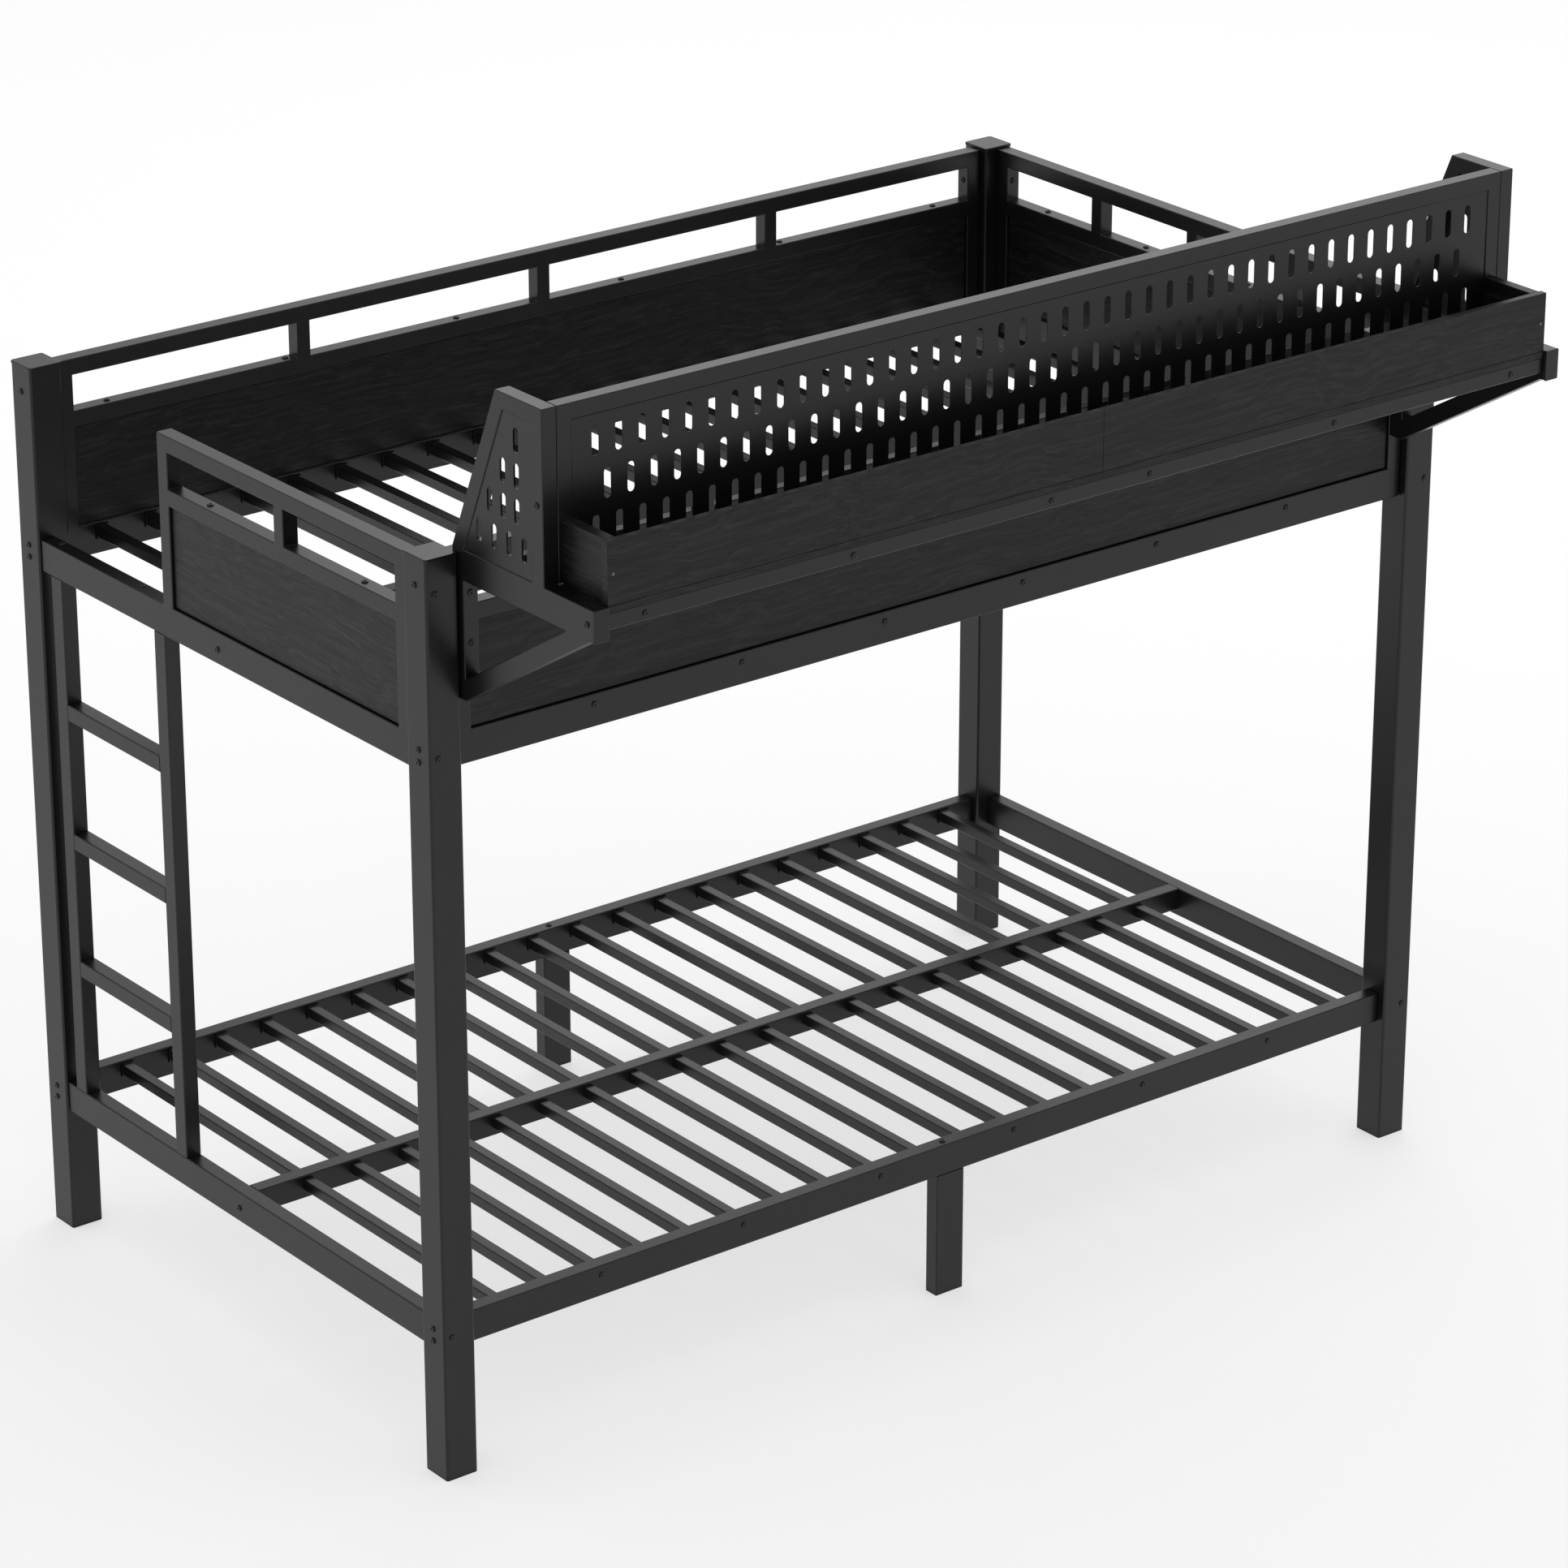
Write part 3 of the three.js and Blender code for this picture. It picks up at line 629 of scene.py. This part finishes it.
pegboard = {"bar": 26 * mm, "edge": 1.6 * mm, "corner": 1.6 * mm, "plate": 1.5 * mm, "setIn": 1.5 * mm,
            "gap": 0.35 * mm, "slotWidth": 12.5 * mm, "slotLength": 46 * mm, "pitch": 41.4 * mm,
            "rowPitch": 67.5 * mm, "inner": 0.8 * mm, "sheetCorner": 0.6 * mm, "sheetRim": 0.3 * mm,
            "railCorner": 2.2 * mm, "rows": (41, 40, 41)}      # gaps between slots in each row


def buildPegboard():
    # slot i of a row with n gaps stands at (i - n / 2) pitches from the middle
    b = pegboard
    low, high = box("pegboard_frame")
    inner = lambda gap: ((low[2] + b["bar"] + gap, high[2] - b["bar"] - gap),
                         (low[0] + b["bar"] + gap, high[0] - b["bar"] - gap))
    loops = [rectangle((low[2], high[2]), (low[0], high[0]), b["corner"]),
             hole(rectangle(*inner(0), b["inner"]))]
    piece("pegboard_surround", prism(loops, "y", (low[1], high[1]), b["edge"]), steel, "steel",
          "pegboard_frame")
    middle = (low[2] + high[2]) / 2
    sheet = [rectangle(*inner(b["gap"]), b["sheetCorner"])]
    for row, gaps in zip((-1, 0, 1), b["rows"]):
        for x in (np.arange(gaps + 1) - gaps / 2) * b["pitch"]:
            sheet.append(hole(slotLoop(middle + row * b["rowPitch"], x, b["slotWidth"],
                                       b["slotLength"], 5, "u")))
    y = (low[1] + b["setIn"], low[1] + b["setIn"] + b["plate"])
    piece("pegboard_sheet", prism(sheet, "y", y, b["sheetRim"], 2), steel, "steel",
          "pegboard_plate")


buildPegboard()
low, high = box("shelf_rail")
piece("shelf_front_rail", bar(low, high, "x", pegboard["railCorner"]), steel, "steel",
      "shelf_rail")
print("pegboard made")


# the box on the arms

tray = {"edge": 0.8 * mm, "roundTop": 0.9 * mm, "rim": 0.3 * mm, "frontRim": 0.5 * mm}
for side in ("left", "right"):
    low, high = box("box_floor_" + side)
    floorBoard = bar(low, high, "x", tray["edge"], tray["rim"])
    piece("box_base_" + side, floorBoard, woodAlongX, "board", "box_floor_" + side)
    low, high = box("box_front_" + side)
    frontBoard = bar(low, high, "x", tray["roundTop"], tray["frontRim"])
    piece("box_front_board_" + side, frontBoard, woodAlongX, "board", "box_front_" + side)
    low, high = box("box_end_" + side)
    endBoard = bar(low, high, "y", tray["roundTop"], tray["rim"])
    piece("box_side_board_" + side, endBoard, woodAlongY, "board", "box_end_" + side)
print("box made")


# bolts and screws

bolt = {"radius": 5.4 * mm, "height": 2.6 * mm, "socket": 2.3 * mm, "sides": 18}
screw = {"radius": 3.0 * mm, "height": 0.7 * mm, "socket": 1.2 * mm, "sides": 12}

# shares of the head's radius or height
headShape = {"sunk": 0.2, "dome": 0.42, "wall": 0.15, "lip": 0.98, "socketFloor": 0.35,
             "socketFoot": 0.94}

# places in millimetres: heights above the floor, or distances from the piece named
boltPlaces = {"railSides": (138.5, 415.5, 692.5), "railSideUp": 35.7, "railEndUp": 23.8,
              "railEndShift": 2.5, "railTopShift": -2,
              "postEnds": (232, 252, 1183, 1203, 1460), "postSides": (244, 1193.5, 1450),
              "postBackShift": 2, "postFrontShift": 0.7, "postIn": 16,
              "guardLong": (169.5, 508, 847), "guardRight": (129.6, 389), "guardLeft": (207.7,),
              "guardUp": 34, "ladderShift": 3, "ladderFromGuard": 56.6, "ladderTops": (93, 332),
              "shelfSides": (96.5, 471.8, 847.8), "shelfDown": 1.3,
              "uprightHeight": 1633, "armIn": 14.5, "armBolt": 1489, "rearHeights": (1366, 1444),
              "screwOut": 905, "screwHeight": 1560}


def buttonHead(b):
    # a profile (r, z) turned about Z: a quarter round from the rim to the top, then down into
    # the socket, whose rings follow a hexagon, r = s / cos(((t + 30) mod 60) - 30), s half its width
    r, h, s, n = b["radius"], b["height"], b["socket"], b["sides"]
    k = headShape
    a = np.linspace(0, math.pi / 2, 4)
    radius = np.concatenate([[r], r - k["dome"] * r * (1 - np.cos(a)), [s, s * k["socketFoot"]]])
    height = np.concatenate([[-k["sunk"] * h], h * (k["wall"] + (1 - k["wall"]) * np.sin(a)),
                             [h * k["lip"], h * k["socketFloor"]]])
    out = np.concatenate([[1], np.cos(a), [-0.5, -0.7]])
    up = np.concatenate([[0], np.sin(a), [0.85, 0.7]])
    hexagonal = np.concatenate([np.zeros(5), [1, 1]])
    t = np.arange(n) * 2 * math.pi / n
    hexagon = 1 / np.cos((t + math.pi / 6) % (math.pi / 3) - math.pi / 6)
    ring = radius[:, None] * (1 + hexagonal[:, None] * (hexagon[None] - 1))
    points = np.stack([ring * np.cos(t), ring * np.sin(t), height[:, None] + 0 * ring], 2)
    points = points.reshape(-1, 3)
    normals = np.stack([out[:, None] * np.cos(t), out[:, None] * np.sin(t),
                        up[:, None] + 0 * ring], 2).reshape(-1, 3)
    normals = normals / np.linalg.norm(normals, axis=1)[:, None]
    index = np.arange(len(radius) * n).reshape(len(radius), n)
    following = np.roll(index, -1, 1)
    faces = np.stack([index[:-1], following[:-1], following[1:], index[1:]], 2).reshape(-1, 4).tolist()
    faces += [index[-1].tolist(), index[0][::-1].tolist()]
    return points, normals, faces


def boltRow(places, axis, head=bolt):
    # one head at each place, its top towards the axis
    return copies(turned(buttonHead(head), axis), places)


def bothSides(distances):
    # the same distances left and right of the middle, from left to right
    right = np.array(distances)
    return np.concatenate([-right[::-1], right]) * mm


def railBolts():
    # six on each side rail's outer face, one on each end rail
    rows = []
    b = boltPlaces
    x = bothSides(b["railSides"])
    for low, high in (box("rail_lower_front"), box("guard_front")):
        z = low[2] + b["railSideUp"] * mm
        rows.append(boltRow([(a, low[1], z) for a in x], (0, -1, 0)))
    for low, high in (box("rail_lower_back"), box("guard_back")):
        z = low[2] + b["railSideUp"] * mm
        rows.append(boltRow([(a, high[1], z) for a in x], (0, 1, 0)))
    for node, out in (("rail_lower_left", -1), ("guard_left", -1),
                      ("rail_lower_right", 1), ("guard_right", 1)):
        low, high = box(node)
        face = high[0] if out > 0 else low[0]
        rows.append(boltRow([(face, endMiddle + b["railEndShift"] * mm,
                              low[2] + b["railEndUp"] * mm)], (out, 0, 0)))
    for side in ("front", "back"):
        low, high = box("rail_lower_" + side)
        rows.append(boltRow([(b["railTopShift"] * mm, (low[1] + high[1]) / 2, high[2])], (0, 0, 1)))
    return rows


def postBolts():
    # pairs on the outer end faces, single ones on the long faces, and one near the top of each
    rows = []
    b = boltPlaces
    for end in ends:
        low, high = box("post_" + end)
        right, back = "right" in end, "back" in end
        faceX, outX = (high[0], 1) if right else (low[0], -1)
        faceY, outY = (high[1], 1) if back else (low[1], -1)
        y = (low[1] + high[1]) / 2 + (b["postBackShift"] if back else b["postFrontShift"]) * mm
        x = faceX - outX * b["postIn"] * mm
        rows.append(boltRow([(faceX, y, z * mm) for z in b["postEnds"]], (outX, 0, 0)))
        rows.append(boltRow([(x, faceY, z * mm) for z in b["postSides"]], (0, outY, 0)))
    return rows


def guardBolts():
    # along the middle bar's top, and through the end uprights inside the windows
    rows = []
    b = boltPlaces
    for name, offsets in (("front", b["guardLong"]), ("back", b["guardLong"]),
                          ("right", b["guardRight"]), ("left", b["guardLeft"])):
        g = guards[name]
        along = 0 if name in ("front", "back") else 1
        middle = sum(g["run"]) / 2
        start, end = g["inside"]
        height = g["midTop"] + b["guardUp"] * mm
        for sign in (-1, 1):
            spots = [(middle + sign * o * mm, g["middle"], g["midTop"]) for o in offsets]
            if along == 1:
                spots = [(m, a, z) for a, m, z in spots]
            rows.append(boltRow(spots, (0, 0, 1)))
        for edge, out in ((start, 1), (end, -1))[:1 if name == "left" else 2]:
            if along == 0:
                rows.append(boltRow([(edge, g["middle"], height)], (out, 0, 0)))
            else:
                rows.append(boltRow([(g["middle"], edge, height)], (0, out, 0)))
    left = box("guard_left")
    railTop = left[0][2] + rails["height"]
    rear = left[1][1] + b["ladderFromGuard"] * mm
    rows.append(boltRow([(guards["left"]["middle"] + b["ladderShift"] * mm, rear - d * mm, railTop)
                         for d in b["ladderTops"]], (0, 0, 1)))
    return rows


def shelfBolts():
    # a row along the shelf's front rail, then two in each bracket's side and two in its rear bar
    rows = []
    b = boltPlaces
    low, high = box("shelf_rail")
    x = bothSides(b["shelfSides"])
    z = (low[2] + high[2]) / 2 - b["shelfDown"] * mm
    rows.append(boltRow([(a, low[1], z) for a in x], (0, -1, 0)))
    p = bracketPlace
    upright = (p["uprightFront"] + p["uprightInner"]) / 2
    for side, out in (("left", -1), ("right", 1)):
        low, high = box("bracket_" + side)
        face = high[0] if out > 0 else low[0]
        rows.append(boltRow([(face, upright, b["uprightHeight"] * mm),
                             (face, p["front"] + b["armIn"] * mm, b["armBolt"] * mm)], (out, 0, 0)))
        middle = (low[0] + high[0]) / 2
        rows.append(boltRow([(middle, p["rearInner"], z * mm) for z in b["rearHeights"]],
                            (0, -1, 0)))
    return rows


bolts = join(railBolts() + postBolts() + guardBolts() + shelfBolts())
piece("bolt_heads", bolts, steel, "steel")
low, high = box("box_front_left")
screws = boltRow([(side * boltPlaces["screwOut"] * mm, low[1], boltPlaces["screwHeight"] * mm)
                  for side in (-1, 1)], (0, -1, 0), screw)
piece("box_screws", screws, screwMetal, "steel")
print("bolts made")


# floor, light and camera

studio = {"floorSize": 60.0, "floorColour": (0.45, 0.45, 0.45), "floorGlow": 0.555,
          "world": 0.84, "lamp": 110, "lampSize": 6, "lampPlace": (4.5, 3.5, 6.0),
          "lampAim": (0, 0, 0.8), "floorRoughness": 0.9, "floorTint": 1.005, "lens": 137.56,
          "sensorWidth": 36, "camera": (-5.5421, -7.0748, 4.5250), "azimuth": -37.911,
          "elevation": 22.688}


def buildFloor():
    # a flat sheet z = 0 with a faint unevenness in its colour
    size = studio["floorSize"] / 2
    mesh = bpy.data.meshes.new("floor")
    mesh.from_pydata([(-size, -size, 0), (size, -size, 0), (size, size, 0), (-size, size, 0)], [],
                     [(0, 1, 2, 3)])
    m = Nodes("paleFloor")
    wide = m.noise(m.place((1, 1, 1)), 3, 2, 0.5)
    colour = studio["floorColour"]
    m.link(m.ramp(wide, [(0.4, colour), (0.6, tuple(c * studio["floorTint"] for c in colour))]),
           m.shader.inputs["Base Color"])
    m.shader.inputs["Emission Color"].default_value = (1, 1, 1, 1)
    m.shader.inputs["Emission Strength"].default_value = studio["floorGlow"]
    m.shader.inputs["Roughness"].default_value = studio["floorRoughness"]
    m.shader.inputs["Specular IOR Level"].default_value = 0.0
    mesh.materials.append(m.material)
    floor = bpy.data.objects.new("floor", mesh)
    bpy.context.scene.collection.objects.link(floor)


def buildLight():
    # an even white world, and one wide lamp turned so that its -Z points at its aim
    world = bpy.data.worlds.new("studio")
    bpy.context.scene.world = world
    world.use_nodes = True
    sky = world.node_tree.nodes["Background"]
    sky.inputs["Color"].default_value = (1, 1, 1, 1)
    sky.inputs["Strength"].default_value = studio["world"]
    lamp = bpy.data.lights.new("overhead", "AREA")
    lamp.energy, lamp.size = studio["lamp"], studio["lampSize"]
    light = bpy.data.objects.new("overhead", lamp)
    light.location = studio["lampPlace"]
    aim = Vector(studio["lampAim"]) - Vector(light.location)
    light.rotation_euler = aim.to_track_quat("-Z", "Y").to_euler()
    bpy.context.scene.collection.objects.link(light)


def buildCamera():
    # looks against the direction (sin a cos e, -cos a cos e, sin e) of azimuth a and elevation e
    data = bpy.data.cameras.new("camera")
    data.lens, data.sensor_width = studio["lens"], studio["sensorWidth"]
    data.clip_start, data.clip_end = 0.1, 100
    camera = bpy.data.objects.new("camera", data)
    a, e = math.radians(studio["azimuth"]), math.radians(studio["elevation"])
    back = Vector((math.sin(a) * math.cos(e), -math.cos(a) * math.cos(e), math.sin(e)))
    camera.location = studio["camera"]
    camera.rotation_mode = "QUATERNION"
    camera.rotation_quaternion = (-back).to_track_quat("-Z", "Y")
    bpy.context.scene.collection.objects.link(camera)
    bpy.context.scene.camera = camera


buildFloor()
buildLight()
buildCamera()
bpy.context.scene.view_settings.view_transform = "Standard"
print("studio made")
